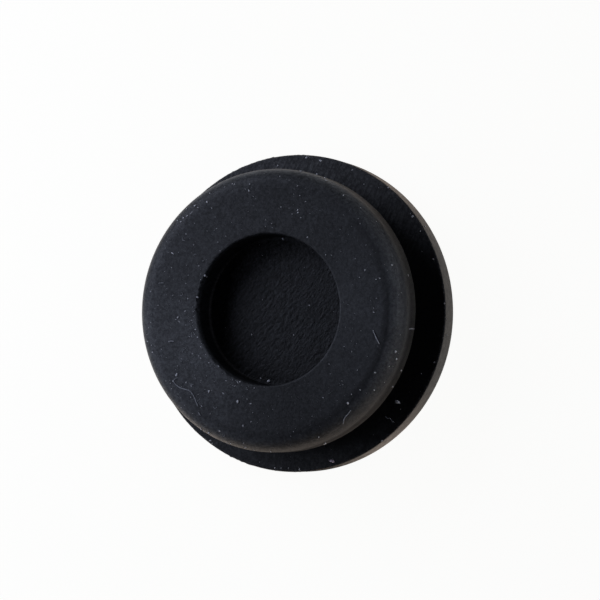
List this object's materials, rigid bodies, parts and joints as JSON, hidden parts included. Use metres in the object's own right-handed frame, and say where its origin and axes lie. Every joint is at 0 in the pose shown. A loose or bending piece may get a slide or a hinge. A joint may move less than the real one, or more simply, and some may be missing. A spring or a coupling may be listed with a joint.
{
  "type": "closed rubber grommet",
  "caption": "Closed rubber grommet moulded in one piece, with a wide flange, a panel groove and a smaller rounded nose flange that has a shallow blind recess.",
  "frame": {"origin": "centre of the wide flange's flat back face, on the part's axis", "axes": "+Z along the part's axis, from the back face of the wide flange towards the face of the nose; X and Y are any two directions across, because the part is round"},
  "size_m": [0.02, 0.02, 0.0063],
  "materials": {
    "rubber": "matte"
  },
  "bodies": {
    "root": {"grommet": "rubber"}
  },
  "joints": []
}
